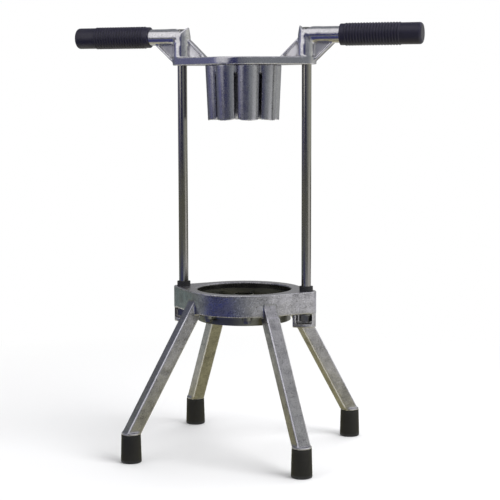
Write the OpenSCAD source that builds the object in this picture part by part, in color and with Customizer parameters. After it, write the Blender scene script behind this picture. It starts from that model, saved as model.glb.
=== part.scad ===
// Hand press that cuts an apple into wedges and takes out its core.
// Millimetres, +Z up, +X to the right handle, -Y to the user.
// The origin is on the table, under the middle of the ring.

/* [Base ring] */
// Height of the ring's top face above the table
base_top = 164; // [150:1:185]
// Height of the ring's wall
ring_h = 21.5; // [20:0.5:26]
// Outer radius of the ring
ring_r = 58; // [57:0.5:62]
// Radius of the ring's bore, which the blade holder fits
bore_r = 47; // [44:0.5:48]
// Distance between the two guide rods
rod_spacing = 130; // [128:1:150]
// Radius of the round ear that carries each rod
ear_r = 10; // [9.5:0.5:12]
// Height of the boss under each ear, from the ring's top face
boss_h = 36; // [35:0.5:42]
// Reach of the boss from the rod's axis towards the ring
boss_reach = 11.5; // [10:0.5:12]
// Height of the nut pocket in each boss
pocket_h = 9.6; // [9.2:0.1:10.5]
// Thickness of the boss under its nut pocket
pocket_floor = 4; // [3:0.5:5]
// Chamfer round the mouth of the bore
bore_chamfer = 1; // [0.5:0.1:1.5]

/* [Legs] */
// Distance between neighbouring feet, middle to middle
foot_spacing = 174; // [160:1:200]
// Width of a leg across its spread
leg_w = 14; // [11:0.5:15]
// Thickness of a leg, square to its outer face
leg_t = 13.4; // [11:0.2:14]
// Chamfer along a leg's edges
leg_chamfer = 0.8; // [0.4:0.1:1.5]
// Distance from the ring's outer wall in to a leg's middle, at the ring's underside
leg_inset = 0.7; // [0.4:0.1:2]
// Radius of the cast collar at a leg's foot
collar_r = 9.4; // [8.5:0.1:9.8]
// Height of the cast collar
collar_h = 2.4; // [1.5:0.1:4]
// Radius of the peg that a rubber foot is pushed on
peg_r = 6.2; // [5:0.1:6.8]
// Length of that peg
peg_h = 19; // [14:0.5:22]

/* [Rubber feet] */
// Height of a rubber foot
foot_h = 27.5; // [25:0.5:32]
// Radius of a rubber foot at its top
foot_top_r = 9.5; // [9:0.1:10]
// Radius of a rubber foot at the table
foot_low_r = 10.2; // [9.6:0.1:12]
// Rounding at a foot's lower edge
foot_round = 1.4; // [0.6:0.1:2]

/* [Guide rods] */
// Diameter of a guide rod
rod_d = 9.5; // [8.8:0.1:11]
// Height of the rods' top ends above the table
rod_top = 422; // [412:0.5:424]
// Chamfer at a rod's top end
rod_chamfer = 1; // [0.4:0.1:1.5]
// Diameter of the threaded stem under each rod
stem_d = 8; // [7:0.1:8.6]
// Thickness of a washer
washer_h = 1.6; // [1:0.1:2]
// Diameter of a washer
washer_d = 14.6; // [13:0.1:14.8]
// Height of a rod nut
nut_h = 6; // [5:0.1:6.4]
// Width of a rod nut across its flats
nut_af = 12.6; // [12:0.1:12.8]
// Diameter of a rubber bumper
bumper_d = 13.4; // [12:0.1:16]
// Height of a rubber bumper
bumper_h = 4.6; // [3:0.1:8]

/* [Blade set] */
// Number of wedges
wedge_count = 8; // [8:8]
// Turn of the blades and the plunger's lobes about the press's axis
wedge_turn = 5.5; // [0:0.5:8]
// Outer radius of the core tube
core_r = 10.5; // [9:0.1:11]
// Wall of the core tube
core_wall = 1; // [0.8:0.1:1.2]
// Height of the core tube
core_h = 20; // [17:0.5:21]
// Thickness of a blade
blade_t = 1; // [0.8:0.1:1.2]
// Height of a blade
blade_h = 15.5; // [13:0.5:16]
// Length of a blade's ground edge, from the top
edge_h = 2; // [1:0.1:3]
// Thickness left at the ground edge
edge_t = 0.25; // [0.2:0.05:0.4]
// Height of the blades' lower edges above the table
blade_z = 140.5; // [139.5:0.5:141]
// Wall of the holder's band
band_wall = 2; // [1.6:0.1:2.4]
// Height of the holder's band
band_h = 25; // [24.5:0.5:26]
// How far the band hangs below the ring
band_drop = 9.5; // [8:0.5:10.5]
// Width of the flange under the ring, outside the bore
flange_w = 2.1; // [1.5:0.1:2.4]
// Thickness of the flange
flange_t = 3; // [2.4:0.1:3.4]
// Radius of a fixing lug
lug_r = 5; // [4.5:0.1:5.4]
// Diameter of a holder screw
holder_screw_d = 4; // [3:0.1:4.4]
// Depth that a holder screw reaches into the ring
holder_screw_grip = 9; // [6:0.5:12]
// Width of a holder screw's head across its flats
holder_head_af = 7; // [6:0.1:8]
// Height of a holder screw's head
holder_head_h = 3.2; // [2.4:0.1:4]

/* [Head] */
// Drop from the rods' top ends to the head plate's lower face, with the head raised
plate_drop = 35.9; // [34:0.1:38]
// Thickness of the head plate
plate_t = 7.5; // [6:0.5:9]
// Radius of the head plate in the middle
plate_r = 41; // [40:0.5:46]
// Radius of the head plate's end round each rod
plate_end_r = 9.5; // [9.4:0.1:11]
// Radius of the tower round each rod
tower_r = 9.3; // [9.2:0.1:10.5]
// Radius of the handle arm
arm_r = 8.1; // [7.4:0.1:8.2]
// Height of the handle arm's axis above the plate's lower face
arm_rise = 28.3; // [26:0.1:30]
// Radius of the arm where it leaves the tower
elbow_r = 8.3; // [8.2:0.1:8.4]
// Radius of the curved tube that fills the elbow's inner corner
bend_r = 7.9; // [7.6:0.1:8.1]
// Bend radius of that tube's middle line
elbow_bend = 12; // [11:0.5:13]
// Thickness of the ribs under the arm and beside the tower
rib_t = 4.6; // [3:0.2:6]
// Width of the rim along each rib's sloping edge
rim_w = 8.6; // [7:0.2:10]
// Thickness of that rim
rim_t = 2.2; // [1.4:0.1:2.6]
// Reach of the outer rib along the arm from the rod's axis
outer_rib = 27.5; // [24:0.5:30]
// Reach of the inner rib along the plate from the rod's axis
inner_rib = 25.7; // [22:0.1:30]
// Height of the inner rib at its end inside the tower's wall, above the plate
inner_rib_h = 18; // [15:0.1:19]
// Drop from the arm's axis to the tower's shoulder
shoulder_drop = 9; // [8:0.5:12]
// Radius of the tower above its shoulder
crown_r = 8.6; // [8.5:0.1:9]
// How much thinner the tower gets from the arm's axis up to its peak
crown_lean = 1.5; // [1:0.1:2]
// Height of the tower's peak above the arm's axis
peak_rise = 9.8; // [9.4:0.1:11]
// Radius of a bushing's outside
bushing_r = 6.6; // [6.3:0.1:7]

/* [Plunger] */
// Height of the plunger below the head plate
plunger_h = 54.4; // [51:0.2:57]
// Radius over the lobes at the top
plunger_top_r = 38; // [37:0.1:39.8]
// Radius over the lobes at the bottom
plunger_low_r = 35.5; // [34.5:0.1:36.5]
// Radius of one lobe's round at the top
lobe_r = 12.2; // [11.8:0.1:13]
// Width of the slots that the blades pass
slot_w = 3; // [2.4:0.1:4]
// Thickness left above those slots
plunger_roof = 8; // [7:0.5:10]
// Radius of the hollow that the core tube passes
hollow_r = 12.5; // [12:0.1:13]
// Rise of the dished lower face for each millimetre towards the middle
dish_slope = 0.26; // [0.16:0.02:0.4]
// Diameter of a plunger screw
plunger_screw_d = 5; // [4:0.1:5.5]
// Radius of the circle that the plunger screws stand on
plunger_screw_r = 25; // [22:0.5:28]
// Depth that a plunger screw reaches into the plunger
plunger_screw_grip = 6; // [4:0.5:7]

/* [Grips] */
// Distance from the middle of the press to a grip's inner end
grip_start = 99.5; // [97:0.5:110]
// Length of a grip
grip_len = 80; // [72:1:90]
// Outer radius of a grip
grip_r = 11; // [10.4:0.1:12]
// Thickness of a grip's closed end
grip_end = 3.2; // [2:0.1:5]
// Rounding of a grip's outer end
grip_round = 3; // [1:0.1:3]
// Distance from one grip rib to the next
rib_pitch = 2.9; // [2.4:0.1:3]
// Height of a grip rib
rib_h = 0.6; // [0.3:0.05:0.9]
// Smooth length between a grip's inner end and its first rib
rib_start = 4.5; // [3:0.5:8]
// Smooth length between the last rib and a grip's outer end
rib_rest = 19.5; // [16:0.5:26]

/* [Fits] */
// Gap all round between a rod and its bushing
running_gap = 0.08; // [0.05:0.01:0.1]
// Gap all round between a rod and its way out through the tower's top
rod_gap = 0.4; // [0.3:0.05:0.6]
// Gap all round between pieces that stay put
seat_gap = 0.04; // [0.02:0.01:0.06]
// Gap between the blade holder's band and the bore
band_gap = 0.3; // [0.2:0.05:0.4]
// Gap left above the bumpers when the head is down
stop_gap = 0.3; // [0.1:0.1:0.5]

/* [Hidden] */
$fn = 96;
LEFT = -1;
RIGHT = 1;
FRONT = -1;
REAR = 1;
// A cut runs this far past the face that it opens
over = 1;

rod_x = rod_spacing / 2;
rod_r = rod_d / 2;
ring_low = base_top - ring_h;
boss_low = base_top - boss_h;
foot_x = foot_spacing / 2;
peg_low = foot_h - peg_h;
wedge_angle = 360 / wedge_count;

// A leg runs straight from its foot to the ring's underside
leg_top = (ring_r - leg_inset) / sqrt(2);
leg_run = (foot_x - leg_top) / (ring_low - foot_h);
// Slope of a leg away from the vertical, seen along its spread
leg_tilt = atan(leg_run * sqrt(2));
// A leg ends inside the ring's wall, this far below the top face
leg_bury = 5;
leg_len = (base_top - leg_bury - foot_h) / cos(leg_tilt);

// The boss stands a little inside the ear above it
boss_step = 0.3;
boss_r = ear_r - boss_step;
// The pocket leaves room for the washer, the nut and the end of the stem
pocket_side = 0.4;
pocket_w = washer_d + 2 * pocket_side;
stem_end = 1;
pocket_top = boss_low + pocket_floor + pocket_h;
stem_low = pocket_top - washer_h - nut_h - stem_end;

band_out = bore_r - band_gap;
band_in = band_out - band_wall;
band_low = ring_low - band_drop;
// A tab on each blade's end goes through the band
tab_h = 6;
tab_rise = 4;
tab_z = blade_z + tab_rise;
lug_at = (bore_r + ring_r) / 2;
lug_angles = [for (side = [90, 270], turn = [-wedge_angle / 2, wedge_angle / 2]) side + turn];

plate_z = rod_top - plate_drop;
plate_top = plate_z + plate_t;
arm_z = plate_z + arm_rise;
arm_end = grip_start + grip_len - grip_end;
bend_x = rod_x + elbow_bend;
bend_z = arm_z - elbow_bend;
shoulder_z = arm_z - shoulder_drop;
peak_r = crown_r - crown_lean;
blend = 5;
// The outer rib's rim starts this far inside the tower's wall, and the inner rib's ends so far inside
outer_bite = 3.6;
inner_bite = 2;
// A bushing ends this far below the rod's top end
bushing_drop = 9;
bushing_top = rod_top - bushing_drop;

plunger_low = plate_z - plunger_h;
slot_h = plunger_h - plunger_roof;
screw_angles = [for (side = [0, 180], turn = [-wedge_angle / 2, wedge_angle / 2]) wedge_turn + side + turn];

rib_count = floor((grip_len - rib_start - rib_rest) / rib_pitch);

// Outline of a plate with a round middle and a round end about each rod
module lens(middle_r, end_r) {
    turn = acos((middle_r - end_r) / rod_x);
    near = [middle_r * cos(turn), middle_r * sin(turn)];
    far = [rod_x + end_r * cos(turn), end_r * sin(turn)];
    circle(middle_r);
    for (side = [LEFT, RIGHT])
        translate([side * rod_x, 0])
            circle(end_r);
    polygon([
        [near[0], near[1]], [far[0], far[1]], [far[0], -far[1]], [near[0], -near[1]],
        [-near[0], -near[1]], [-far[0], -far[1]], [-far[0], far[1]], [-near[0], near[1]]
    ]);
}

// Solid ring of the given radii and height
module tube(outer_r, inner_r, height) {
    difference() {
        cylinder(r = outer_r, h = height);
        translate([0, 0, -over])
            cylinder(r = inner_r, h = height + 2 * over);
    }
}

// Hexagonal prism, measured across its flats
module hexagon(across, height) {
    cylinder(d = across / cos(30), h = height, $fn = 6);
}

// Section of a leg, a rectangle with its four edges broken
module leg_section() {
    a = leg_t / 2;
    b = leg_w / 2;
    c = leg_chamfer;
    polygon([
        [a, -b + c], [a, b - c], [a - c, b], [-a + c, b],
        [-a, b - c], [-a, -b + c], [-a + c, -b], [a - c, -b]
    ]);
}

// One leg, spreading along +X +Y, with its collar and its peg
module leg() {
    translate([foot_x, foot_x, foot_h]) {
        intersection() {
            rotate([0, 0, 45])
                rotate([0, -leg_tilt, 0])
                    translate([0, 0, -leg_w])
                        linear_extrude(leg_len + leg_w)
                            leg_section();
            translate([-base_top, -base_top, 0])
                cube([2 * base_top, 2 * base_top, base_top - leg_bury - foot_h]);
        }
        cylinder(r = collar_r, h = collar_h);
        translate([0, 0, -peg_h])
            cylinder(r = peg_r, h = peg_h + collar_h);
    }
}

// Boss under an ear, with the window that shows the rod's nut
module ear_boss() {
    difference() {
        translate([0, 0, boss_low])
            linear_extrude(ring_low - boss_low + over) {
                circle(boss_r);
                translate([-boss_reach, -boss_r])
                    square([boss_reach, 2 * boss_r]);
            }
        translate([-pocket_w / 2, -boss_r - over, pocket_top - pocket_h])
            cube([pocket_w, 2 * boss_r + 2 * over, pocket_h]);
    }
}

module base_casting() {
    color("silver")
        difference() {
            union() {
                translate([0, 0, ring_low])
                    linear_extrude(ring_h)
                        lens(ring_r, ear_r);
                for (turn = [0 : 90 : 270])
                    rotate([0, 0, turn])
                        leg();
                translate([rod_x, 0, 0])
                    ear_boss();
                mirror([1, 0, 0])
                    translate([rod_x, 0, 0])
                        ear_boss();
            }
            translate([0, 0, ring_low - over])
                cylinder(r = bore_r, h = ring_h + 2 * over);
            translate([0, 0, base_top - bore_chamfer])
                cylinder(r1 = bore_r, r2 = bore_r + bore_chamfer + over, h = bore_chamfer + over);
            for (side = [LEFT, RIGHT])
                translate([side * rod_x, 0, pocket_top - over])
                    cylinder(r = stem_d / 2 + seat_gap, h = base_top - pocket_top + 2 * over);
            for (turn = lug_angles)
                rotate([0, 0, turn])
                    translate([lug_at, 0, ring_low - over])
                        cylinder(r = holder_screw_d / 2 + seat_gap, h = holder_screw_grip + 1.5 * over);
        }
}

module guide_rod(side) {
    color("dimgray")
        translate([side * rod_x, 0, 0]) {
            translate([0, 0, base_top])
                cylinder(r = rod_r, h = rod_top - base_top - rod_chamfer);
            translate([0, 0, rod_top - rod_chamfer])
                cylinder(r1 = rod_r, r2 = rod_r - rod_chamfer, h = rod_chamfer);
            translate([0, 0, stem_low])
                cylinder(r = stem_d / 2, h = base_top - stem_low);
        }
}

module rod_washer(side) {
    color("lightgray")
        translate([side * rod_x, 0, pocket_top - washer_h])
            tube(washer_d / 2, stem_d / 2 + seat_gap, washer_h);
}

module rod_nut(side) {
    color("lightgray")
        translate([side * rod_x, 0, pocket_top - washer_h - nut_h])
            difference() {
                hexagon(nut_af, nut_h);
                translate([0, 0, -over])
                    cylinder(r = stem_d / 2 + seat_gap, h = nut_h + 2 * over);
            }
}

module bumper(side) {
    color("black")
        translate([side * rod_x, 0, base_top])
            tube(bumper_d / 2, rod_r + seat_gap, bumper_h);
}

// Rubber cap on a leg's peg, with a rounded lower edge
module foot(x, y) {
    color("black")
        translate([x * foot_x, y * foot_x, 0])
            rotate_extrude()
                difference() {
                    union() {
                        polygon([
                            [0, 0], [foot_low_r - foot_round, 0], [foot_low_r, foot_round],
                            [foot_top_r, foot_h], [0, foot_h]
                        ]);
                        translate([foot_low_r - foot_round, foot_round])
                            intersection() {
                                circle(foot_round);
                                translate([0, -foot_round])
                                    square(foot_round);
                            }
                    }
                    translate([-over, peg_low - seat_gap])
                        square([peg_r + seat_gap + over, peg_h + seat_gap + over]);
                }
}

// Band that holds the blades, hung from the ring by a flange and four lugs
module blade_holder() {
    color("gainsboro")
        difference() {
            union() {
                translate([0, 0, band_low])
                    cylinder(r = band_out, h = band_h);
                translate([0, 0, ring_low - flange_t])
                    linear_extrude(flange_t) {
                        circle(bore_r + flange_w);
                        for (turn = lug_angles)
                            rotate(turn) {
                                translate([lug_at, 0])
                                    circle(lug_r);
                                translate([bore_r - lug_r, -lug_r])
                                    square([lug_at - bore_r + lug_r, 2 * lug_r]);
                            }
                    }
            }
            translate([0, 0, band_low - over])
                cylinder(r = band_in, h = band_h + 2 * over);
            for (turn = lug_angles)
                rotate([0, 0, turn])
                    translate([lug_at, 0, ring_low - flange_t - over])
                        cylinder(r = holder_screw_d / 2 + seat_gap, h = flange_t + 2 * over);
            for (step = [0 : wedge_count - 1])
                rotate([0, 0, wedge_turn + step * wedge_angle])
                    translate([band_in - over, -blade_t / 2 - seat_gap, tab_z - seat_gap])
                        cube([band_wall + 2 * over, blade_t + 2 * seat_gap, tab_h + 2 * seat_gap]);
        }
}

module core_tube() {
    color("whitesmoke")
        translate([0, 0, blade_z + blade_h / 2 - core_h / 2])
            rotate_extrude()
                polygon([
                    [core_r - core_wall, 0], [core_r, 0], [core_r, core_h - edge_h],
                    [core_r - core_wall + edge_t, core_h], [core_r - core_wall, core_h]
                ]);
}

// One blade from the core tube to the band, ground to an edge, with its tab through the band
module radial_blade(number) {
    color("whitesmoke")
        rotate([0, 0, wedge_turn + (number - 1) * wedge_angle]) {
            difference() {
                intersection() {
                    translate([0, 0, blade_z])
                        rotate([90, 0, 90])
                            linear_extrude(band_in + over)
                                polygon([
                                    [-blade_t / 2, 0], [blade_t / 2, 0], [blade_t / 2, blade_h - edge_h],
                                    [edge_t / 2, blade_h], [-edge_t / 2, blade_h],
                                    [-blade_t / 2, blade_h - edge_h]
                                ]);
                    cylinder(r = band_in - seat_gap, h = base_top);
                }
                cylinder(r = core_r + seat_gap, h = base_top);
            }
            translate([band_in - over, -blade_t / 2, tab_z])
                cube([band_wall + over, blade_t, tab_h]);
        }
}

module holder_screws() {
    color("lightgray")
        for (turn = lug_angles)
            rotate([0, 0, turn])
                translate([lug_at, 0, ring_low - flange_t - holder_head_h]) {
                    hexagon(holder_head_af, holder_head_h);
                    cylinder(
                        r = holder_screw_d / 2,
                        h = holder_head_h + flange_t + holder_screw_grip
                    );
                }
}

// Upright rib in the plane of the rods, given by its outline in X and Z
module upright(points, width) {
    translate([0, width / 2, 0])
        rotate([90, 0, 0])
            linear_extrude(width)
                polygon(points);
}

// Rim along a rib's sloping edge, from one point to another
module rim(low, high) {
    rise = high - low;
    turn = atan2(rise[1], rise[0]);
    translate([low[0], 0, low[1]])
        rotate([0, -turn, 0])
            translate([0, -rim_w / 2, 0])
                cube([norm(rise), rim_w, rim_t]);
}

// Space above a plane that slopes down at 45 degrees towards the handle
module above_mitre(rise) {
    translate([rod_x, 0, arm_z + rise])
        rotate([0, 45, 0])
            translate([-2 * arm_z, -2 * tower_r, 0])
                cube([4 * arm_z, 4 * tower_r, 4 * arm_z]);
}

// Tower, elbow, arm and ribs on the right-hand side
module tower() {
    rib_low = [rod_x + tower_r - outer_bite, plate_z];
    rib_high = [rod_x + outer_rib, arm_z - arm_r];
    inner_low = [rod_x - inner_rib, plate_top];
    inner_high = [rod_x - tower_r + inner_bite, plate_top + inner_rib_h];
    translate([rod_x, 0, plate_z])
        cylinder(r = tower_r, h = shoulder_z - plate_z);
    translate([rod_x, 0, shoulder_z])
        cylinder(r1 = tower_r, r2 = crown_r, h = blend);
    // top of the tower, which leans in and is cut so that its peak stands over the inner wall
    difference() {
        translate([rod_x, 0, plate_z]) {
            cylinder(r = crown_r, h = arm_rise);
            translate([0, 0, arm_rise])
                cylinder(r1 = crown_r, r2 = peak_r, h = peak_rise);
        }
        above_mitre(peak_rise - peak_r);
    }
    // elbow
    translate([bend_x, 0, bend_z])
        rotate([90, 0, 0])
            rotate([0, 0, 90])
                rotate_extrude(angle = 90)
                    translate([elbow_bend, 0])
                        circle(bend_r);
    // arm
    intersection() {
        translate([rod_x - 2 * elbow_r, 0, arm_z])
            rotate([0, 90, 0])
                cylinder(r = elbow_r, h = elbow_bend + 2 * elbow_r);
        above_mitre(peak_rise - peak_r - over);
    }
    translate([bend_x, 0, arm_z])
        rotate([0, 90, 0]) {
            cylinder(r1 = elbow_r, r2 = arm_r, h = blend);
            cylinder(r = arm_r, h = arm_end - seat_gap - bend_x);
        }
    // outer rib
    upright([
        rib_low, rib_high, [rib_high[0], arm_z], [bend_x, arm_z], [rod_x, bend_z], [rod_x, plate_z]
    ], rib_t);
    rim(rib_low, rib_high);
    // inner rib
    upright([
        inner_low, inner_high, [rod_x, inner_high[1]],
        [rod_x, plate_z + plate_t / 2], [inner_low[0], plate_z + plate_t / 2]
    ], rib_t);
    difference() {
        translate([0, 0, -rim_t])
            rim(inner_low, inner_high);
        translate([0, -rim_w, plate_z - 2 * rim_t])
            cube([rod_x, 2 * rim_w, plate_t]);
    }
}

module head_casting() {
    color("lightsteelblue")
        difference() {
            union() {
                translate([0, 0, plate_z])
                    linear_extrude(plate_t)
                        lens(plate_r, plate_end_r);
                tower();
                mirror([1, 0, 0])
                    tower();
            }
            for (side = [LEFT, RIGHT])
                translate([side * rod_x, 0, plate_z - over]) {
                    cylinder(r = bushing_r + seat_gap, h = bushing_top - plate_z + over);
                    cylinder(r = rod_r + rod_gap, h = arm_rise + 2 * peak_rise);
                }
            for (turn = screw_angles)
                rotate([0, 0, turn])
                    translate([plunger_screw_r, 0, plate_z]) {
                        translate([0, 0, -over])
                            cylinder(r = plunger_screw_d / 2 + seat_gap, h = plate_t + 2 * over);
                        translate([0, 0, plate_t - plunger_screw_d / 2])
                            cylinder(
                                r1 = plunger_screw_d / 2 + seat_gap,
                                r2 = plunger_screw_d + seat_gap + over,
                                h = plunger_screw_d / 2 + over
                            );
                    }
        }
}

module bushing(side) {
    color("ivory")
        translate([side * rod_x, 0, plate_z])
            tube(bushing_r, rod_r + running_gap, bushing_top - plate_z);
}

// One lobe of the plunger, leaning out as it rises
module lobe() {
    lobe_low_r = lobe_r * plunger_low_r / plunger_top_r;
    top_at = plunger_top_r - lobe_r;
    low_at = plunger_low_r - lobe_low_r;
    lean = atan2(top_at - low_at, plunger_h);
    translate([low_at, 0, 0])
        rotate([0, lean, 0])
            translate([0, 0, -over])
                cylinder(r1 = lobe_low_r, r2 = lobe_r, h = plunger_h + 2 * over);
}

module plunger() {
    dish_h = plunger_low_r * dish_slope;
    color("lightsteelblue")
        translate([0, 0, plunger_low])
            difference() {
                intersection() {
                    union() {
                        cylinder(r = plunger_low_r - lobe_r, h = plunger_h);
                        for (step = [0 : wedge_count - 1])
                            rotate([0, 0, wedge_turn + (step + 0.5) * wedge_angle])
                                lobe();
                    }
                    cylinder(r = 2 * plunger_top_r, h = plunger_h);
                }
                translate([0, 0, -over])
                    cylinder(r = hollow_r, h = slot_h + over);
                translate([0, 0, -over * dish_slope])
                    cylinder(r1 = plunger_low_r + over, r2 = 0, h = dish_h + over * dish_slope);
                for (step = [0 : wedge_count / 2 - 1])
                    rotate([0, 0, wedge_turn + step * wedge_angle])
                        translate([-plunger_top_r - over, -slot_w / 2, -over])
                            cube([2 * plunger_top_r + 2 * over, slot_w, slot_h + over]);
                for (turn = screw_angles)
                    rotate([0, 0, turn])
                        translate([plunger_screw_r, 0, plunger_h - plunger_screw_grip - seat_gap])
                            cylinder(
                                r = plunger_screw_d / 2 + seat_gap,
                                h = plunger_screw_grip + seat_gap + over
                            );
            }
}

module plunger_screws() {
    color("lightgray")
        for (turn = screw_angles)
            rotate([0, 0, turn])
                translate([plunger_screw_r, 0, plate_z]) {
                    translate([0, 0, -plunger_screw_grip])
                        cylinder(r = plunger_screw_d / 2, h = plunger_screw_grip + plate_t);
                    translate([0, 0, plate_t - plunger_screw_d / 2])
                        cylinder(
                            r1 = plunger_screw_d / 2, r2 = plunger_screw_d, h = plunger_screw_d / 2
                        );
                }
}

// Sleeve with a closed, rounded outer end and fine ribs round it
module grip(side) {
    smooth_r = grip_r - rib_h;
    ribs = [
        for (step = [0 : rib_count - 1], corner = [[0, 0], [rib_h, 0.25], [rib_h, 0.5], [0, 0.75]])
            [smooth_r + corner[0], rib_start + (step + corner[1]) * rib_pitch]
    ];
    rounding = [
        for (turn = [0 : 15 : 90])
            [smooth_r - grip_round * (1 - cos(turn)), grip_len - grip_round * (1 - sin(turn))]
    ];
    color("#15151c")
        mirror([side == LEFT ? 1 : 0, 0, 0])
            translate([grip_start, 0, arm_z])
                rotate([0, 90, 0])
                    difference() {
                        rotate_extrude()
                            polygon(concat([[0, 0], [smooth_r, 0]], ribs, rounding, [[0, grip_len]]));
                        translate([0, 0, -over])
                            cylinder(r = arm_r + seat_gap, h = grip_len - grip_end + over);
                    }
}

base_casting();
guide_rod(LEFT);  // left_guide_rod
guide_rod(RIGHT);  // right_guide_rod
rod_washer(LEFT);  // left_rod_washer
rod_washer(RIGHT);  // right_rod_washer
rod_nut(LEFT);  // left_rod_nut
rod_nut(RIGHT);  // right_rod_nut
bumper(LEFT);  // left_bumper
bumper(RIGHT);  // right_bumper
foot(LEFT, FRONT);  // front_left_foot
foot(RIGHT, FRONT);  // front_right_foot
foot(LEFT, REAR);  // rear_left_foot
foot(RIGHT, REAR);  // rear_right_foot
blade_holder();
core_tube();
radial_blade(1);  // radial_blade_1
radial_blade(2);  // radial_blade_2
radial_blade(3);  // radial_blade_3
radial_blade(4);  // radial_blade_4
radial_blade(5);  // radial_blade_5
radial_blade(6);  // radial_blade_6
radial_blade(7);  // radial_blade_7
radial_blade(8);  // radial_blade_8
holder_screws();
head_casting();
bushing(LEFT);  // left_bushing
bushing(RIGHT);  // right_bushing
plunger();
plunger_screws();
grip(LEFT);  // left_grip
grip(RIGHT);  // right_grip
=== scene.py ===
from math import cos, pi, radians, sin

import bpy
from bpy.props import FloatProperty, FloatVectorProperty, IntProperty, PointerProperty
from mathutils import Matrix, Vector


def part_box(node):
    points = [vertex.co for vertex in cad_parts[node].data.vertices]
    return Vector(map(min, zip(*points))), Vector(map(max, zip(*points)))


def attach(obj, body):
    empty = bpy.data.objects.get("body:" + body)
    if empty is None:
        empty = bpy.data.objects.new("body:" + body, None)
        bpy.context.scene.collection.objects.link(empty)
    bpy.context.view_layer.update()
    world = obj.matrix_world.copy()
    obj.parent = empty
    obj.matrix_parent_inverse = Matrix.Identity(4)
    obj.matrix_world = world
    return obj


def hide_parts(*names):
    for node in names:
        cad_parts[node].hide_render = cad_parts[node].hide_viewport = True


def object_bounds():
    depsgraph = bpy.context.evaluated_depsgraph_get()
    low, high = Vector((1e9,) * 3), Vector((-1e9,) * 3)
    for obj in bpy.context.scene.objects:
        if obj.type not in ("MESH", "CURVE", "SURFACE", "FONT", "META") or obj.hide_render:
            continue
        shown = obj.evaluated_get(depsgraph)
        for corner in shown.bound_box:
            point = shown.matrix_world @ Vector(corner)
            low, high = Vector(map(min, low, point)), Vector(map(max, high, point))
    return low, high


bl_info = {
    "name": "Apple wedger press",
    "version": (1, 0, 0),
    "blender": (4, 5, 0),
    "location": "3D View > Sidebar > Press",
    "description": "Dresses the packed press: cast aluminium, ground steel, rubber and vinyl",
    "category": "Object",
}

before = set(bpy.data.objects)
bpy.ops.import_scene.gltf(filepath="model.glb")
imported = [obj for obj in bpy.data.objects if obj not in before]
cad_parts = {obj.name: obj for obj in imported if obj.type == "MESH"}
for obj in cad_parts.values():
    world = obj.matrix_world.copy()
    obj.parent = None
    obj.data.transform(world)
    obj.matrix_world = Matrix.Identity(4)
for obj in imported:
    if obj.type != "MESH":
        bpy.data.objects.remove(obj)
CAD_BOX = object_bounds()
WEDGES = 8
SIDES = ("left", "right")
CORNERS = ("front_left", "front_right", "rear_left", "rear_right")


# ---------------------------------------------------------------- settings


def length(name, description, default):
    """A size in metres."""
    return FloatProperty(
        name=name, description=description, default=default, subtype="DISTANCE", unit="LENGTH"
    )


def angle(name, description, degrees):
    """An angle that the sidebar shows in degrees."""
    return FloatProperty(
        name=name, description=description, default=radians(degrees), subtype="ANGLE", unit="ROTATION"
    )


def colour(name, description, default):
    """A colour in linear light."""
    return FloatVectorProperty(
        name=name, description=description, default=default, subtype="COLOR", size=3, min=0, max=1
    )


def share(name, description, default):
    """A share from 0 to 1."""
    return FloatProperty(
        name=name, description=description, default=default, min=0, max=1, subtype="FACTOR"
    )


class PressCameraSettings(bpy.types.PropertyGroup):
    """Where the photograph was taken from."""

    turn: angle("Turn", "Angle from the front of the press to the camera's right", 18.97)
    distance: length("Distance", "Level distance from the middle of the press", 1.39357)
    aside: length("Aside", "Sideways step of the camera to its own right", 0.005995)
    height: length("Height", "Height of the camera above the table", 0.35555)
    pitch: angle("Pitch", "Angle that the camera looks down", 6.272)
    roll: angle("Roll", "Roll of the camera", -0.127)
    lens: FloatProperty(name="Lens", description="Focal length on a 36 mm sensor", default=100.8)


class PressStageSettings(bpy.types.PropertyGroup):
    """Floor, lamps and the room that the metal mirrors."""

    floor: colour("Floor", "Colour of the floor", (0.86, 0.86, 0.87))
    window: colour("Window", "High window on the left of the mirrored room", (1.0, 0.99, 1.0))
    ceiling: colour("Ceiling", "Ceiling of the mirrored room", (0.26, 0.27, 0.29))
    table: colour("Table", "Table of the mirrored room, away from the press", (0.70, 0.69, 0.62))
    olive: colour("Olive", "Table of the mirrored room, near the press", (0.43, 0.40, 0.23))
    sky: colour("Sky", "Upper wall on the right of the mirrored room", (0.86, 0.84, 0.94))
    navy: colour("Navy", "Dark stretch of the mirrored table", (0.06, 0.065, 0.17))
    radius: length("Room radius", "Radius of the mirrored room", 0.75)
    room_height: length("Room height", "Height of the mirrored room", 1.56)
    key: FloatProperty(name="Key", description="Power of the key lamp", default=26.0, unit="POWER")
    ambient: FloatProperty(name="Ambient", description="Light that the white world sheds", default=0.45)
    fill: FloatProperty(name="Fill", description="Power of the fill lamp", default=9.0, unit="POWER")
    top: FloatProperty(name="Top", description="Power of the overhead lamp", default=16.0, unit="POWER")


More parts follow.
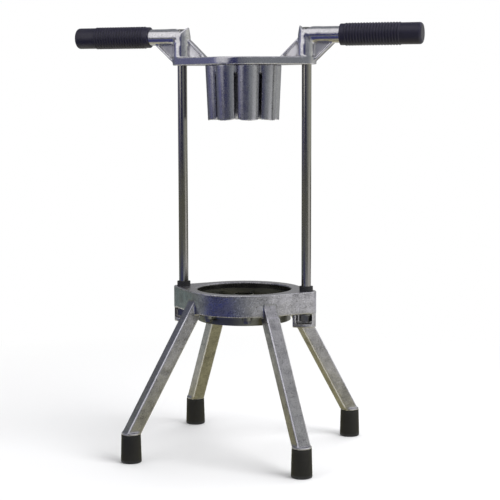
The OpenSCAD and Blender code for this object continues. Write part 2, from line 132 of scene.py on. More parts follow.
class PressCastingSettings(bpy.types.PropertyGroup):
    """Aluminium castings."""

    base_light: colour("Light base metal", "Clean sand-cast aluminium", (0.58, 0.575, 0.59))
    base_dark: colour("Dark base metal", "Oxidised sand-cast aluminium", (0.14, 0.14, 0.155))
    light: colour("Light metal", "Clean polished aluminium", (0.80, 0.79, 0.81))
    dark: colour("Dark metal", "Oxidised polished aluminium", (0.46, 0.46, 0.49))
    # The plunger's two tones are kept darker than the head's as a painted dark reflection.
    plunger_shaded_light: colour("Shaded light plunger metal", "Clean aluminium of the plunger", (0.50, 0.50, 0.54))
    plunger_shaded_dark: colour("Shaded dark plunger metal", "Oxidised aluminium of the plunger", (0.34, 0.34, 0.38))
    # The inner webs' near-white tone is a painted highlight, standing in for the bright light that they
    # mirror.
    web_highlight: colour("Web highlight", "As-cast skin of the webs inside the ribs", (0.95, 0.93, 1.0))
    # Bright bare metal of the machined ring top and of rubbed edges; on the edges it is also a painted
    # highlight.
    bare_metal_and_highlight: colour("Bare metal and highlight", "Metal rubbed bright", (0.78, 0.77, 0.82))
    # Near-black painted shade for the castings' hollow corners, sand pits and the wall inside the ring's
    # bore.
    hollow_shade: colour("Hollow shade", "What gathers in corners", (0.045, 0.045, 0.038))
    voxel: length("Mould detail", "Smallest detail that the mould keeps", 0.0007)
    rounding: IntProperty(name="Rounding", description="Passes that soften the edges", default=5, min=0)
    thinning: share("Thinning", "Share of the faces kept where the skin is flat", 0.3)
    grain: length("Sand grain", "Size of the sand's grain", 0.0009)


class PressSteelSettings(bpy.types.PropertyGroup):
    """Rods, blades and fasteners."""

    rod: colour("Rod", "Ground steel of the rods", (0.31, 0.30, 0.27))
    blade: colour("Blade", "Stainless steel of the blades", (0.24, 0.24, 0.20))
    band: colour("Band", "Rolled steel of the blade holder", (0.25, 0.25, 0.21))
    edge: colour("Ground edge", "Freshly ground steel", (0.62, 0.62, 0.60))
    plating: colour("Plating", "Zinc plating of nuts, washers and screws", (0.24, 0.24, 0.23))


class PressSoftSettings(bpy.types.PropertyGroup):
    """Rubber, vinyl and nylon."""

    rubber: colour("Rubber", "Black rubber of the feet and bumpers", (0.006, 0.006, 0.007))
    vinyl: colour("Vinyl", "Near-black vinyl of the grips", (0.006, 0.005, 0.014))
    dust: colour("Dust", "Pale dust on black surfaces", (0.16, 0.155, 0.15))
    nylon: colour("Nylon", "Nylon of the bushings", (0.62, 0.59, 0.50))


class PressSettings(bpy.types.PropertyGroup):
    """All settings of the press."""

    camera: PointerProperty(type=PressCameraSettings, name="Camera", description="Camera of the photograph")
    stage: PointerProperty(type=PressStageSettings, name="Stage", description="Floor and light")
    casting: PointerProperty(type=PressCastingSettings, name="Castings", description="Cast aluminium")
    steel: PointerProperty(type=PressSteelSettings, name="Steel", description="Rods, blades, fasteners")
    soft: PointerProperty(type=PressSoftSettings, name="Soft parts", description="Rubber, vinyl, nylon")


# ------------------------------------------------------------ node wiring


class Wiring:
    """Short calls that add nodes to one node tree and join them."""

    def __init__(self, tree):
        self.tree = tree

    def feed(self, socket, value):
        """Joins value to the socket if it is one, and stores it there otherwise."""
        if isinstance(value, bpy.types.NodeSocket):
            self.tree.links.new(value, socket)
        elif socket.type == "RGBA" and len(value) == 3:
            socket.default_value = (*value, 1)
        else:
            socket.default_value = value

    def node(self, kind, inputs=None, **settings):
        """A new node. inputs maps a socket's name or number to a value or to another socket."""
        made = self.tree.nodes.new(kind)
        for key, value in settings.items():
            setattr(made, key, value)
        for key, value in (inputs or {}).items():
            self.feed(made.inputs[key], value)
        return made

    def math(self, operation, first, second=0.0):
        """Result of a Math node."""
        return self.node("ShaderNodeMath", {0: first, 1: second}, operation=operation).outputs[0]

    def vector(self, operation, first, second):
        """Result of a Vector Math node."""
        return self.node("ShaderNodeVectorMath", {0: first, 1: second}, operation=operation).outputs[0]

    def span(self, value, low, high, to_low=0.0, to_high=1.0):
        """value mapped from one span to another, clamped."""
        inputs = {0: value, 1: low, 2: high, 3: to_low, 4: to_high}
        return self.node("ShaderNodeMapRange", inputs).outputs[0]

    def blend(self, part, first, second):
        """Colour between first and second."""
        return self.node("ShaderNodeMix", {0: part, 6: first, 7: second}, data_type="RGBA").outputs[2]

    def between(self, part, first, second):
        """Number between first and second."""
        return self.node("ShaderNodeMix", {0: part, 2: first, 3: second}).outputs[0]

    def noise(self, vector, scale, detail=2.0, roughness=0.5, distortion=0.0):
        """Height of a noise texture, around 0.5."""
        inputs = {
            "Vector": vector,
            "Scale": scale,
            "Detail": detail,
            "Roughness": roughness,
            "Distortion": distortion,
        }
        return self.node("ShaderNodeTexNoise", inputs).outputs[0]

    def place(self):
        """Place on the piece, in metres."""
        return self.node("ShaderNodeTexCoord").outputs["Object"]

    def facing(self):
        """Which way the piece's surface faces, in the piece's own axes."""
        return self.node("ShaderNodeTexCoord").outputs["Normal"]

    def axes(self, vector):
        """X, Y and Z of a vector."""
        return self.node("ShaderNodeSeparateXYZ", {0: vector}).outputs

    def effect(self, tree, **inputs):
        """Outputs of one of the shared effects."""
        named = {key.replace("_", " ").capitalize(): value for key, value in inputs.items()}
        return self.node("ShaderNodeGroup", named, node_tree=tree).outputs

    def all_of(self, *masks):
        """Product of several masks."""
        result = masks[0]
        for mask in masks[1:]:
            result = self.math("MULTIPLY", result, mask)
        return result

    def ramp(self, value, stops):
        """Colour at value, blended between stops, which hold a place from 0 to 1 and a colour."""
        made = self.node("ShaderNodeValToRGB", {0: value})
        line = made.color_ramp.elements
        line[0].position, line[0].color = stops[0][0], (*stops[0][1], 1)
        line[1].position, line[1].color = stops[-1][0], (*stops[-1][1], 1)
        for place, tone in stops[1:-1]:
            line.new(place).color = (*tone, 1)
        return made.outputs[0]


def shared_effect(name, inputs, outputs, fill):
    """Shader node group, built once. fill(wiring, sockets) returns what each output gets."""
    tree = bpy.data.node_groups.get(name)
    if tree:
        return tree
    tree = bpy.data.node_groups.new(name, "ShaderNodeTree")
    for label, default in inputs.items():
        kind = "NodeSocketVector" if default is None else "NodeSocketFloat"
        socket = tree.interface.new_socket(name=label, in_out="INPUT", socket_type=kind)
        if default is not None:
            socket.default_value = default
    for label in outputs:
        tree.interface.new_socket(name=label, in_out="OUTPUT", socket_type="NodeSocketFloat")
    wiring = Wiring(tree)
    results = fill(wiring, wiring.node("NodeGroupInput").outputs)
    wiring.node("NodeGroupOutput", dict(zip(outputs, results)))
    return tree


# --------------------------------------------------------- shared effects


def sand_grain():
    """Fine grains, a few pits and slow waves, as a sand mould leaves them."""

    def fill(w, given):
        size = w.math("DIVIDE", 1.0, given["Grain"])
        grains = w.noise(given["Place"], size, 3.0, 0.6)
        waves = w.noise(given["Place"], w.math("MULTIPLY", size, 0.11), 2.0, 0.5)
        cells = w.node(
            "ShaderNodeTexVoronoi",
            {"Vector": given["Place"], "Scale": w.math("MULTIPLY", size, 0.33)},
            feature="F1",
        ).outputs["Distance"]
        chosen = w.span(w.noise(given["Place"], w.math("MULTIPLY", size, 0.2), 1.0), 0.52, 0.62)
        pits = w.math("MULTIPLY", w.span(cells, 0.30, 0.08), chosen)
        height = w.math("SUBTRACT", w.math("ADD", grains, w.math("MULTIPLY", waves, 1.4)), pits)
        tone = w.span(w.math("ADD", grains, w.math("MULTIPLY", waves, 0.4)), 0.48, 0.92)
        return height, tone, pits

    return shared_effect("Sand grain", {"Place": None, "Grain": 0.001}, ("Height", "Tone", "Pits"), fill)


def edge_hollow_masks():
    """Masks of sharp edges and of hollow corners, broken up by noise. On the castings the edges get rubbed
    metal with a painted highlight and the corners get painted shade.
    """

    def fill(w, given):
        bend = w.node("ShaderNodeNewGeometry").outputs["Pointiness"]
        patches = w.noise(given["Place"], w.math("DIVIDE", 1.0, given["Patch"]), 3.0, 0.6)
        shifted = w.math("ADD", bend, w.math("MULTIPLY", w.math("SUBTRACT", patches, 0.5), 0.05))
        edge = w.span(shifted, 0.515, w.math("ADD", 0.515, given["Spread"]))
        corner = w.span(shifted, 0.485, w.math("SUBTRACT", 0.485, given["Spread"]))
        return edge, corner

    inputs = {"Place": None, "Patch": 0.004, "Spread": 0.06}
    return shared_effect("Edge and hollow masks", inputs, ("Edge", "Corner"), fill)


def drawn_lines():
    """Fine lines along one direction. Stretch holds how often the noise repeats along X, Y and Z."""

    def fill(w, given):
        stretched = w.vector("MULTIPLY", given["Place"], given["Stretch"])
        fine = w.noise(stretched, 1.0, 3.0, 0.65)
        broad = w.noise(w.vector("MULTIPLY", stretched, (0.23, 0.23, 0.23)), 1.0, 2.0, 0.5)
        return fine, w.span(w.math("ADD", fine, broad), 0.8, 1.2)

    return shared_effect("Drawn lines", {"Place": None, "Stretch": None}, ("Height", "Tone"), fill)


def turned_rings():
    """Rings about the upright axis, as a lathe tool leaves them."""

    def fill(w, given):
        x, y, z = w.axes(given["Place"])[:3]
        flat = w.node("ShaderNodeCombineXYZ", {0: x, 1: y}).outputs[0]
        radius = w.node("ShaderNodeVectorMath", {0: flat}, operation="LENGTH").outputs["Value"]
        wobble = w.math("MULTIPLY", w.noise(given["Place"], 60.0, 1.0), 0.0004)
        turns = w.math("DIVIDE", w.math("ADD", radius, wobble), given["Pitch"])
        ring = w.noise(w.node("ShaderNodeCombineXYZ", {0: turns}).outputs[0], 1.0, 3.0, 0.7)
        return ring, w.span(ring, 0.35, 0.65)

    return shared_effect("Turned rings", {"Place": None, "Pitch": 0.0006}, ("Height", "Tone"), fill)


def handling_film():
    """Smears of hands and cloths, as a mask."""

    def fill(w, given):
        size = w.math("DIVIDE", 1.0, given["Patch"])
        smear = w.noise(given["Place"], size, 4.0, 0.55, 0.8)
        speck = w.noise(given["Place"], w.math("MULTIPLY", size, 14.0), 2.0, 0.6)
        return w.span(smear, 0.42, 0.62), w.span(speck, 0.62, 0.74)

    return shared_effect("Handling film", {"Place": None, "Patch": 0.02}, ("Smear", "Specks"), fill)


# -------------------------------------------------------------- materials


def settings():
    """The press's settings in this scene."""
    return bpy.context.scene.press


def new_material(name):
    """Empty material with its wiring, shader and output in place."""
    made = bpy.data.materials.new(name)
    made.use_nodes = True
    made.node_tree.nodes.clear()
    wiring = Wiring(made.node_tree)
    shader = wiring.node("ShaderNodeBsdfPrincipled")
    wiring.node("ShaderNodeOutputMaterial", {"Surface": shader.outputs[0]})
    return made, wiring, shader


def bump(wiring, height, depth, strength):
    """Normal of a surface with that height, depth metres deep."""
    inputs = {"Height": height, "Distance": depth, "Strength": strength}
    return wiring.node("ShaderNodeBump", inputs).outputs[0]


def leg_ridges(w, place):
    """Mask of the edges along the four legs: rubbed bright metal with a painted highlight."""
    x, y, z = w.axes(place)[:3]
    facing = w.axes(w.facing())
    along_x = w.math("MULTIPLY", facing[0], w.math("SIGN", x))
    along_y = w.math("MULTIPLY", facing[1], w.math("SIGN", y))
    aside = w.math("ABSOLUTE", w.math("MULTIPLY", w.math("SUBTRACT", along_x, along_y), 0.7071))
    edge = w.all_of(w.span(aside, 0.22, 0.40), w.span(aside, 0.97, 0.90))
    near_leg = w.span(w.math("ABSOLUTE", y), 0.020, 0.030)
    return w.all_of(edge, near_leg, w.span(z, 0.030, 0.032), w.span(z, 0.1425, 0.141))


def rib_webs(w, place):
    """Masks of the flat webs inside the ribs: the inner ones, which get a painted highlight, and the outer
    ones, which get painted shade.
    """
    x, y, z = w.axes(place)[:3]
    flat = w.all_of(
        w.span(w.math("ABSOLUTE", w.axes(w.facing())[1]), 0.75, 0.95),
        w.span(w.math("ABSOLUTE", y), 0.0034, 0.0028),
    )
    out = w.math("ABSOLUTE", x)
    inner_web_highlight = w.all_of(flat, w.span(out, 0.0585, 0.0565))
    outer_web_shade = w.all_of(flat, w.span(out, 0.0715, 0.0735))
    return inner_web_highlight, outer_web_shade


def ring_masks(w, place, top):
    """Masks of the base's ring, whose top face is at top, and of the wall inside its bore, where shade is
    painted.
    """
    x, y, z = w.axes(place)[:3]
    flat = w.node("ShaderNodeCombineXYZ", {0: x, 1: y}).outputs[0]
    radius = w.node("ShaderNodeVectorMath", {0: flat}, operation="LENGTH").outputs["Value"]
    ring = w.span(z, top - 0.0225, top - 0.0205)
    return ring, w.all_of(ring, w.span(radius, 0.0478, 0.0472), w.span(z, top - 0.0008, top - 0.0014))


def head_plate(w, place):
    """Mask of the plate at the bottom of the head, which is darkened as a painted dark reflection."""
    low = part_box("head_casting")[0][2]
    return w.span(w.axes(place)[2], low + 0.0085, low + 0.0075)


def cast_aluminium(name, light, dark, grain, depth, shine, streaks, part):
    """Cast aluminium. grain and depth are the sand's, in metres, shine is the smoothest roughness and
    streaks stretches the polishing lines. part is "base", "head" or "plunger"."""
    look = settings().casting
    made, w, shader = new_material(name)
    place = w.place()
    skin = w.effect(sand_grain(), place=place, grain=grain)
    edge_hollow = w.effect(edge_hollow_masks(), place=place, patch=0.005, spread=0.05)
    film = w.effect(handling_film(), place=place, patch=0.018)
    lines = w.effect(drawn_lines(), place=place, stretch=streaks)
    tone = w.blend(skin["Tone"], dark, light)
    tone = w.blend(w.math("MULTIPLY", lines["Tone"], 0.35), tone, light)
    # sand pits darkened with painted shade
    tone = w.blend(w.math("MULTIPLY", skin["Pits"], 0.7), tone, look.hollow_shade)
    height = w.between(0.3, skin["Height"], lines["Height"])
    rough = w.span(skin["Tone"], 0.0, 1.0, shine + 0.16, shine)
    metal = w.span(edge_hollow["Corner"], 0.0, 1.0, 1.0, 0.55)
    edge = edge_hollow["Edge"]
    if part == "base":
        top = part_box("base_casting")[1][2]
        rings = w.effect(turned_rings(), place=place, pitch=0.0007)
        up = w.span(w.axes(w.facing())[2], 0.85, 0.97)
        machined = w.math("MULTIPLY", up, w.span(w.axes(place)[2], top - 0.0015, top - 0.0005))
        bright = w.blend(rings["Tone"], light, look.bare_metal_and_highlight)
        tone = w.blend(machined, tone, bright)
        height = w.between(machined, height, rings["Height"])
        rough = w.between(machined, rough, shine + 0.08)
        # the legs' ridges join the edges: rubbed bright metal with a painted highlight
        edge = w.math("MAXIMUM", edge, leg_ridges(w, place))
        ring, bore_shade = ring_masks(w, place, top)
        height = w.math("MULTIPLY", height, w.between(ring, 1.0, 0.3))
        rough = w.math("SUBTRACT", rough, w.math("MULTIPLY", ring, 0.06))
        # painted shade on the wall inside the ring's bore
        tone = w.blend(w.math("MULTIPLY", bore_shade, 0.85), tone, look.hollow_shade)
    if part == "head":
        inner_web_highlight, outer_web_shade = rib_webs(w, place)
        # inner webs: near-white and almost non-metallic, a painted highlight
        tone = w.blend(inner_web_highlight, tone, w.blend(skin["Tone"], light, look.web_highlight))
        # outer webs: darkened as painted shade in their recess
        tone = w.blend(w.math("MULTIPLY", outer_web_shade, 0.6), tone, dark)
        cast = w.math("MAXIMUM", inner_web_highlight, outer_web_shade)
        rough = w.between(cast, rough, 0.55)
        metal = w.between(inner_web_highlight, metal, 0.05)
        # head plate: darkened as a painted dark reflection
        tone = w.blend(w.math("MULTIPLY", head_plate(w, place), 0.7), tone, dark)
    # painted shade in the hollow corners
    tone = w.blend(w.math("MULTIPLY", edge_hollow["Corner"], 0.75), tone, look.hollow_shade)
    # edges: rubbed bright metal and a painted highlight
    tone = w.blend(w.math("MULTIPLY", edge, 0.85), tone, look.bare_metal_and_highlight)
    rough = w.math("ADD", rough, w.math("MULTIPLY", film["Smear"], 0.07))
    rough = w.between(edge, rough, shine)
    metal = w.between(edge, metal, 0.6)
    w.feed(shader.inputs["Base Color"], tone)
    w.feed(shader.inputs["Roughness"], rough)
    w.feed(shader.inputs["Metallic"], metal)
    w.feed(shader.inputs["Normal"], bump(w, height, depth, 0.5))
    return made


def bright_steel(name, base, stretch, depth, shine, ground=None):
    """Steel with fine lines along stretch. With ground, faces that lean are freshly ground."""
    made, w, shader = new_material(name)
    place = w.place()
    lines = w.effect(drawn_lines(), place=place, stretch=stretch)
    film = w.effect(handling_film(), place=place, patch=0.012)
    edge_hollow = w.effect(edge_hollow_masks(), place=place, patch=0.003, spread=0.08)
    dull = tuple(0.82 * part for part in base)
    tone = w.blend(lines["Tone"], dull, base)
    tone = w.blend(w.math("MULTIPLY", film["Specks"], 0.2), tone, dull)
    rough = w.span(lines["Tone"], 0.0, 1.0, shine + 0.08, shine)
    if ground is not None:
        lean = w.math("ABSOLUTE", w.axes(w.facing())[2])
        fresh = w.math("MULTIPLY", w.span(lean, 0.04, 0.10), w.span(lean, 0.99, 0.93))
        tone = w.blend(fresh, tone, ground)
        rough = w.between(fresh, rough, shine * 0.7)
    tone = w.blend(w.math("MULTIPLY", edge_hollow["Edge"], 0.5), tone, tuple(min(1.0, 1.3 * p) for p in base))
    rough = w.math("ADD", rough, w.math("MULTIPLY", film["Smear"], 0.04))
    w.feed(shader.inputs["Base Color"], tone)
    w.feed(shader.inputs["Roughness"], rough)
    shader.inputs["Metallic"].default_value = 1.0
    w.feed(shader.inputs["Normal"], bump(w, lines["Height"], depth, 0.35))
    return made


def black_plastic(name, base, grain, depth, shine):
    """Black rubber or vinyl: pebbled, rubbed on its edges, with a little dust where it faces up."""
    look = settings().soft
    made, w, shader = new_material(name)
    place = w.place()
    pebbles = w.effect(sand_grain(), place=place, grain=grain)
    edge_hollow = w.effect(edge_hollow_masks(), place=place, patch=0.004, spread=0.1)
    film = w.effect(handling_film(), place=place, patch=0.015)
    rubbed = tuple(2.4 * part for part in base)
    tone = w.blend(pebbles["Tone"], base, tuple(1.6 * part for part in base))
    tone = w.blend(w.math("MULTIPLY", edge_hollow["Edge"], 0.6), tone, rubbed)
    up = w.span(w.axes(w.facing())[2], 0.2, 1.0)
    dust = w.math("MULTIPLY", w.math("MULTIPLY", up, film["Smear"]), 0.04)
    dust = w.math("ADD", dust, w.math("MULTIPLY", film["Specks"], 0.025))
    dust = w.math("MAXIMUM", dust, w.math("MULTIPLY", edge_hollow["Corner"], 0.05))
    w.feed(shader.inputs["Base Color"], w.blend(dust, tone, look.dust))
    rough = w.span(pebbles["Tone"], 0.0, 1.0, shine + 0.14, shine)
    w.feed(shader.inputs["Roughness"], w.math("ADD", rough, w.math("MULTIPLY", film["Smear"], 0.08)))
    w.feed(shader.inputs["Normal"], bump(w, pebbles["Height"], depth, 0.4))
    return made


def nylon(name):
    """Off-white turned nylon."""
    base = tuple(settings().soft.nylon)
    made, w, shader = new_material(name)
    place = w.place()
    rings = w.effect(drawn_lines(), place=place, stretch=(60.0, 60.0, 2500.0))
    film = w.effect(handling_film(), place=place, patch=0.008)
    tone = w.blend(rings["Tone"], tuple(0.86 * part for part in base), base)
    tone = w.blend(w.math("MULTIPLY", film["Smear"], 0.25), tone, (0.30, 0.28, 0.24))
    w.feed(shader.inputs["Base Color"], tone)
    w.feed(shader.inputs["Roughness"], w.span(rings["Tone"], 0.0, 1.0, 0.5, 0.38))
    w.feed(shader.inputs["Normal"], bump(w, rings["Height"], 0.00004, 0.4))
    return made


# ------------------------------------------------------------- the pieces


def dress(node, material):
    """Gives a CAD node its material."""
    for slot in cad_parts[node].material_slots:
        slot.material = material


def cast_skin(node, body, material):
    """Copy of a CAD solid with the soft edges of a casting, which stands for the solid."""
    look = settings().casting
    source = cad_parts[node]
    rough_copy = bpy.data.objects.new(node + "_draft", source.data.copy())
    rough_copy.matrix_world = source.matrix_world
    bpy.context.scene.collection.objects.link(rough_copy)
    remesh = rough_copy.modifiers.new("mould", "REMESH")
    remesh.mode = "VOXEL"
    remesh.voxel_size = look.voxel
    soften = rough_copy.modifiers.new("soften", "SMOOTH")
    soften.factor = 0.5
    soften.iterations = look.rounding
    thin = rough_copy.modifiers.new("thin", "DECIMATE")
    thin.ratio = look.thinning
    depsgraph = bpy.context.evaluated_depsgraph_get()
    mesh = bpy.data.meshes.new_from_object(rough_copy.evaluated_get(depsgraph))
    bpy.data.objects.remove(rough_copy)
    mesh.name = node + "_skin"
    mesh.materials.clear()
    mesh.materials.append(material)
    mesh.shade_smooth()
    piece = bpy.data.objects.new(node + "_skin", mesh)
    bpy.context.scene.collection.objects.link(piece)
    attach(piece, body)
    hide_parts(node)
    return piece


class PRESS_OT_base_casting(bpy.types.Operator):
    """Skin of the base casting: ring, ears, bosses and legs"""

    bl_idname = "press.base_casting"
    bl_label = "Base casting"

    def execute(self, context):
        look = settings().casting
        material = cast_aluminium(
            "Sand-cast base", look.base_light, look.base_dark, look.grain, 0.0005, 0.24,
            (90.0, 90.0, 400.0), "base",
        )
        cast_skin("base_casting", "base", material)
        return {"FINISHED"}


class PRESS_OT_head_casting(bpy.types.Operator):
    """Skin of the head casting: plate, towers, elbows and arms"""

    bl_idname = "press.head_casting"
    bl_label = "Head casting"

    def execute(self, context):
        look = settings().casting
        material = cast_aluminium(
            "Polished head", look.light, look.dark, look.grain * 0.8, 0.00007, 0.10,
            (60.0, 900.0, 900.0), "head",
        )
        cast_skin("head_casting", "press_head", material)
        return {"FINISHED"}


class PRESS_OT_plunger(bpy.types.Operator):
    """Skin of the lobed plunger"""

    bl_idname = "press.plunger"
    bl_label = "Plunger"

    def execute(self, context):
        look = settings().casting
        material = cast_aluminium(
            "Polished plunger", look.plunger_shaded_light, look.plunger_shaded_dark, look.grain * 0.8, 0.0001, 0.15,
            (1100.0, 1100.0, 45.0), "plunger",
        )
        cast_skin("plunger", "press_head", material)
        return {"FINISHED"}


class PRESS_OT_guide_rods(bpy.types.Operator):
    """Ground finish of the two guide rods"""

    bl_idname = "press.guide_rods"
    bl_label = "Guide rods"

    def execute(self, context):
        base = tuple(settings().steel.rod)
        material = bright_steel("Ground rod", base, (500.0, 500.0, 9.0), 0.000008, 0.14)
        for side in SIDES:
            dress(side + "_guide_rod", material)
        return {"FINISHED"}


class PRESS_OT_blade_set(bpy.types.Operator):
    """Finish of the blades, core tube and holder band"""

    bl_idname = "press.blade_set"
    bl_label = "Blade set"

    def execute(self, context):
        look = settings().steel
        base = tuple(look.blade)
        ground = bright_steel("Ground blade", base, (120.0, 120.0, 1800.0), 0.00002, 0.2, look.edge)
        band = bright_steel("Blade band", tuple(look.band), (60.0, 60.0, 900.0), 0.00012, 0.3)
        for number in range(1, WEDGES + 1):
            dress(f"radial_blade_{number}", ground)
        dress("core_tube", ground)
        dress("blade_holder", band)
        return {"FINISHED"}


class PRESS_OT_fasteners(bpy.types.Operator):
    """Plating of the nuts, washers and screws"""

    bl_idname = "press.fasteners"
    bl_label = "Fasteners"

    def execute(self, context):
        base = tuple(settings().steel.plating)
        material = bright_steel("Zinc plating", base, (900.0, 900.0, 900.0), 0.00003, 0.28)
        for side in SIDES:
            dress(side + "_rod_nut", material)
            dress(side + "_rod_washer", material)
        dress("holder_screws", material)
        dress("plunger_screws", material)
        return {"FINISHED"}


class PRESS_OT_rubber(bpy.types.Operator):
    """Black rubber of the feet and bumpers"""

    bl_idname = "press.rubber"
    bl_label = "Rubber parts"

    def execute(self, context):
        base = tuple(settings().soft.rubber)
        material = black_plastic("Black rubber", base, 0.0006, 0.00012, 0.44)
        for corner in CORNERS:
            dress(corner + "_foot", material)
        for side in SIDES:
            dress(side + "_bumper", material)
        return {"FINISHED"}


class PRESS_OT_grips(bpy.types.Operator):
    """Ribbed vinyl of the two grips"""

    bl_idname = "press.grips"
    bl_label = "Grips"

    def execute(self, context):
        base = tuple(settings().soft.vinyl)
        material = black_plastic("Ribbed vinyl", base, 0.0005, 0.00008, 0.3)
        for side in SIDES:
            dress(side + "_grip", material)
        return {"FINISHED"}


class PRESS_OT_bushings(bpy.types.Operator):
    """Nylon of the two bushings"""

    bl_idname = "press.bushings"
    bl_label = "Bushings"

    def execute(self, context):
        material = nylon("Turned nylon")
        for side in SIDES:
            dress(side + "_bushing", material)
        return {"FINISHED"}


# -------------------------------------------------------------- the stage


def seen_from(turn, rise, distance, aim):
    """Point at that distance from aim. turn is the angle round from the camera to its right."""
    heading = settings().camera.turn + turn
    level = distance * cos(rise)
    return aim + Vector((level * sin(heading), -level * cos(heading), distance * sin(rise)))


def facing_to(place, aim):
    """Placement at that point with its own -Z towards aim."""
    turn = (aim - place).to_track_quat("-Z", "Y").to_matrix().to_4x4()
    return Matrix.Translation(place) @ turn


def soft_lamp(name, power, size, place, aim):
    """Square area lamp that points at aim."""
    lamp = bpy.data.lights.new(name, "AREA")
    lamp.energy = power
    lamp.size = size
    piece = bpy.data.objects.new(name, lamp)
    piece.matrix_world = facing_to(place, aim)
    piece.visible_glossy = False
    bpy.context.scene.collection.objects.link(piece)


# Corners of a round outline, the floor's radius, and the mirrored table's height above the floor
ROUND_STEPS = 96
FLOOR_RADIUS = 6.0
TABLE_LIFT = 0.003


def round_points(radius):
    """Corners of a circle about the origin."""
    turns = [2 * pi * step / ROUND_STEPS for step in range(ROUND_STEPS)]
    return [(radius * cos(turn), radius * sin(turn)) for turn in turns]


# Walls of the mirrored room, as angles to the right of the camera and colours. The low wall stands
# before the ring and the legs, the middle one before the rods and the high one before the head.
LOW_WALL = (
    (-180, (0.50, 0.50, 0.48)), (-160, (0.20, 0.26, 0.25)), (-112, (0.17, 0.23, 0.23)),
    (-82, (0.22, 0.25, 0.36)), (-70, (0.03, 0.05, 0.30)), (-24, (0.04, 0.06, 0.32)),
    (-14, (0.46, 0.51, 0.62)), (35, (0.72, 0.73, 0.82)), (60, (0.96, 0.95, 1.0)),
    (140, (0.82, 0.81, 0.88)), (180, (0.50, 0.50, 0.48)),
)
MIDDLE_WALL = (
    (-180, (0.22, 0.22, 0.19)), (-20, (0.24, 0.24, 0.19)), (44, (0.15, 0.15, 0.12)),
    (50, (1.0, 0.99, 1.0)), (92, (0.98, 0.97, 1.0)), (100, (0.16, 0.16, 0.14)),
    (180, (0.22, 0.22, 0.19)),
)
HIGH_WALL = (
    (-180, (0.30, 0.30, 0.30)), (-150, (0.12, 0.13, 0.16)), (-112, (0.20, 0.21, 0.27)),
    (-78, (0.17, 0.17, 0.40)), (-68, (0.03, 0.03, 0.12)), (6, (0.03, 0.035, 0.13)),
    (16, (0.34, 0.37, 0.40)), (50, (0.46, 0.47, 0.45)), (70, (0.64, 0.65, 0.60)),
    (125, (0.60, 0.61, 0.56)), (150, (0.34, 0.34, 0.36)), (180, (0.30, 0.30, 0.30)),
)


def room_tones():
    """Emission of the mirrored room: three walls, a window, a ceiling and a table."""
    look = settings().stage
    made = bpy.data.materials.new("Mirrored room")
    made.use_nodes = True
    made.node_tree.nodes.clear()
    w = Wiring(made.node_tree)
    x, y, z = w.axes(w.place())[:3]
    turn = w.math("ARCTAN2", x, w.math("MULTIPLY", y, -1.0))
    degrees = w.math("MULTIPLY", turn, 180 / pi)
    share_round = w.math("ADD", w.math("DIVIDE", turn, 2 * pi), 0.5)
    low, middle, high = (
        w.ramp(share_round, [((angle_at + 180) / 360, tone) for angle_at, tone in wall])
        for wall in (LOW_WALL, MIDDLE_WALL, HIGH_WALL)
    )
    wall = w.blend(w.span(z, 0.092, 0.105), low, middle)
    wall = w.blend(w.span(z, 0.243, 0.251), wall, high)
    # straight ahead, the dark wall ends just above the head plate
    plain = w.all_of(w.span(z, 0.340, 0.355), w.span(degrees, -20.0, -8.0), w.span(degrees, 40.0, 20.0))
    wall = w.blend(plain, wall, look.ceiling)
    # the window's right side leans, and above the head it reaches further round
    side = w.span(z, 0.32, 0.62, -49.0, -28.0)
    side = w.between(w.span(z, 0.84, 0.90), side, 24.0)
    window = w.all_of(
        w.span(w.math("SUBTRACT", degrees, side), 2.0, -2.0),
        w.span(w.math("SUBTRACT", degrees, w.span(z, 0.34, 0.40, -58.0, -82.0)), -4.0, 4.0),
        w.span(z, 0.320, 0.330),
    )
    sky = w.blend(w.span(degrees, 10.0, 40.0), look.ceiling, look.sky)
    sky = w.blend(w.span(degrees, 120.0, 150.0), sky, look.ceiling)
    wall = w.blend(w.span(z, 0.70, 0.84), wall, sky)
    wall = w.blend(window, wall, look.window)
    away = w.node("ShaderNodeVectorMath", {0: w.place()}, operation="LENGTH").outputs["Value"]
    table = w.blend(w.span(away, 0.22, 0.36), look.olive, look.table)
    # ahead and to the left the arms mirror a dark stretch of table and a bright ceiling
    ahead = w.all_of(w.span(degrees, -92.0, -80.0), w.span(degrees, 10.0, -4.0))
    table = w.blend(w.all_of(ahead, w.span(away, 0.12, 0.26)), table, look.navy)
    above = w.blend(ahead, look.ceiling, look.window)
    tone = w.blend(w.span(z, 0.004, 0.005), table, wall)
    tone = w.blend(w.span(z, look.room_height - 0.003, look.room_height - 0.002), tone, above)
    light = w.node("ShaderNodeEmission", {"Color": tone})
    w.node("ShaderNodeOutputMaterial", {"Surface": light.outputs[0]})
    return made


def mirrored_room():
    """Round room that only reflections see, turned with the camera."""
    look = settings().stage
    steps = ROUND_STEPS
    points = [(x, y, z) for z in (TABLE_LIFT, look.room_height) for x, y in round_points(look.radius)]
    faces = [(n, (n + 1) % steps, steps + (n + 1) % steps, steps + n) for n in range(steps)]
    faces += [tuple(range(steps)), tuple(range(steps, 2 * steps))]
    mesh = bpy.data.meshes.new("mirrored_room")
    mesh.from_pydata(points, [], faces)
    mesh.materials.append(room_tones())
    room = bpy.data.objects.new("mirrored_room", mesh)
    room.matrix_world = Matrix.Rotation(settings().camera.turn, 4, "Z")
    bpy.context.scene.collection.objects.link(room)
    room.visible_camera = False
    room.visible_diffuse = False
    room.visible_transmission = False
    room.visible_shadow = False


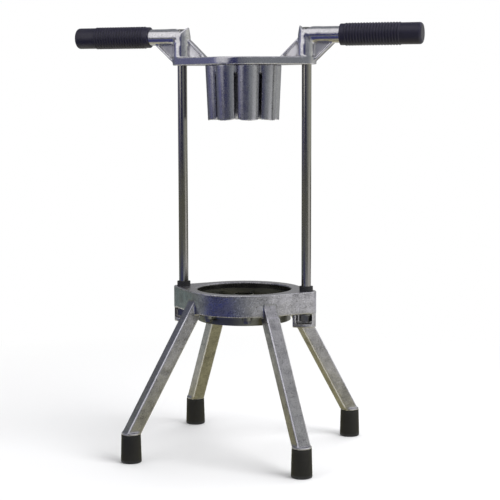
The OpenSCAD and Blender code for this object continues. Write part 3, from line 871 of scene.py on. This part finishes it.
def pale_floor():
    """Round floor that keeps the shadow near the press and fades to white further off."""
    ring = [(x, y, 0) for x, y in round_points(FLOOR_RADIUS)]
    mesh = bpy.data.meshes.new("floor")
    mesh.from_pydata(ring, [], [tuple(range(ROUND_STEPS))])
    made = bpy.data.materials.new("Pale floor")
    made.use_nodes = True
    made.node_tree.nodes.clear()
    w = Wiring(made.node_tree)
    cloth = w.node("ShaderNodeBsdfDiffuse", {"Color": settings().stage.floor})
    white = w.node("ShaderNodeEmission", {"Color": (1, 1, 1), "Strength": 1.0})
    away = w.node("ShaderNodeVectorMath", {0: w.place()}, operation="LENGTH").outputs["Value"]
    path = w.node("ShaderNodeLightPath").outputs
    direct = w.math("MAXIMUM", path["Is Camera Ray"], path["Is Glossy Ray"])
    far = w.math("MULTIPLY", w.span(away, 0.25, 0.7), direct)
    mixed = w.node("ShaderNodeMixShader", {0: far, 1: cloth.outputs[0], 2: white.outputs[0]})
    w.node("ShaderNodeOutputMaterial", {"Surface": mixed.outputs[0]})
    mesh.materials.append(made)
    floor = bpy.data.objects.new("floor", mesh)
    bpy.context.scene.collection.objects.link(floor)


def white_world(strength):
    """World that is white to the camera and to reflections, and lights the press softly."""
    world = bpy.data.worlds.new("White room")
    bpy.context.scene.world = world
    world.use_nodes = True
    world.node_tree.nodes.clear()
    w = Wiring(world.node_tree)
    path = w.node("ShaderNodeLightPath").outputs
    seen = w.math("MAXIMUM", path["Is Camera Ray"], path["Is Glossy Ray"])
    seen = w.math("MAXIMUM", seen, path["Is Transmission Ray"])
    level = w.between(seen, strength, 1.0)
    light = w.node("ShaderNodeBackground", {"Color": (1, 1, 1), "Strength": level})
    w.node("ShaderNodeOutputWorld", {"Surface": light.outputs[0]})


def photo_camera():
    """Camera at the photograph's place."""
    look = settings().camera
    back = Vector((sin(look.turn), -cos(look.turn), 0))
    right = Vector((cos(look.turn), sin(look.turn), 0))
    lift = Vector((0, 0, 1))
    ahead = -back * cos(look.pitch) - lift * sin(look.pitch)
    head = lift * cos(look.pitch) - back * sin(look.pitch)
    rolled_right = right * cos(look.roll) + head * sin(look.roll)
    rolled_head = head * cos(look.roll) - right * sin(look.roll)
    lens = bpy.data.cameras.new("photo_camera")
    lens.lens = look.lens
    lens.sensor_width = 36.0
    camera = bpy.data.objects.new("photo_camera", lens)
    place = back * look.distance + right * look.aside + lift * look.height
    turn = Matrix((rolled_right, rolled_head, -ahead)).transposed().to_4x4()
    camera.matrix_world = Matrix.Translation(place) @ turn
    bpy.context.scene.collection.objects.link(camera)
    bpy.context.scene.camera = camera


class PRESS_OT_stage(bpy.types.Operator):
    """Camera, floor, lamps and the room that the metal mirrors"""

    bl_idname = "press.stage"
    bl_label = "Stage"

    def execute(self, context):
        look = settings().stage
        low, high = CAD_BOX
        aim = Vector((0, 0, (low[2] + high[2]) / 2))
        photo_camera()
        white_world(look.ambient)
        pale_floor()
        soft_lamp("key_lamp", look.key, 1.2, seen_from(radians(55), radians(40), 1.8, aim), aim)
        soft_lamp("fill_lamp", look.fill, 1.6, seen_from(radians(-50), radians(20), 2.0, aim), aim)
        soft_lamp("top_lamp", look.top, 1.4, seen_from(radians(150), radians(70), 1.8, aim), aim)
        mirrored_room()
        context.scene.view_settings.view_transform = "Standard"
        return {"FINISHED"}


class PRESS_PT_sidebar(bpy.types.Panel):
    """Buttons for each group of pieces"""

    bl_idname = "PRESS_PT_sidebar"
    bl_label = "Apple wedger press"
    bl_space_type = "VIEW_3D"
    bl_region_type = "UI"
    bl_category = "Press"

    def draw(self, context):
        for made in OPERATORS:
            self.layout.operator(made.bl_idname)


OPERATORS = (
    PRESS_OT_stage,
    PRESS_OT_base_casting,
    PRESS_OT_head_casting,
    PRESS_OT_plunger,
    PRESS_OT_guide_rods,
    PRESS_OT_blade_set,
    PRESS_OT_fasteners,
    PRESS_OT_rubber,
    PRESS_OT_grips,
    PRESS_OT_bushings,
)
CLASSES = (
    PressCameraSettings,
    PressStageSettings,
    PressCastingSettings,
    PressSteelSettings,
    PressSoftSettings,
    PressSettings,
    *OPERATORS,
    PRESS_PT_sidebar,
)


def register():
    """Adds the classes and the scene's settings."""
    for made in CLASSES:
        bpy.utils.register_class(made)
    bpy.types.Scene.press = PointerProperty(
        type=PressSettings, name="Press", description="Settings of the press"
    )


def unregister():
    """Takes the classes and the settings away again."""
    del bpy.types.Scene.press
    for made in reversed(CLASSES):
        bpy.utils.unregister_class(made)


def main():
    """Makes the stage and every piece."""
    register()
    for made in OPERATORS:
        group, call = made.bl_idname.split(".")
        getattr(getattr(bpy.ops, group), call)()


if __name__ == "__main__":
    main()
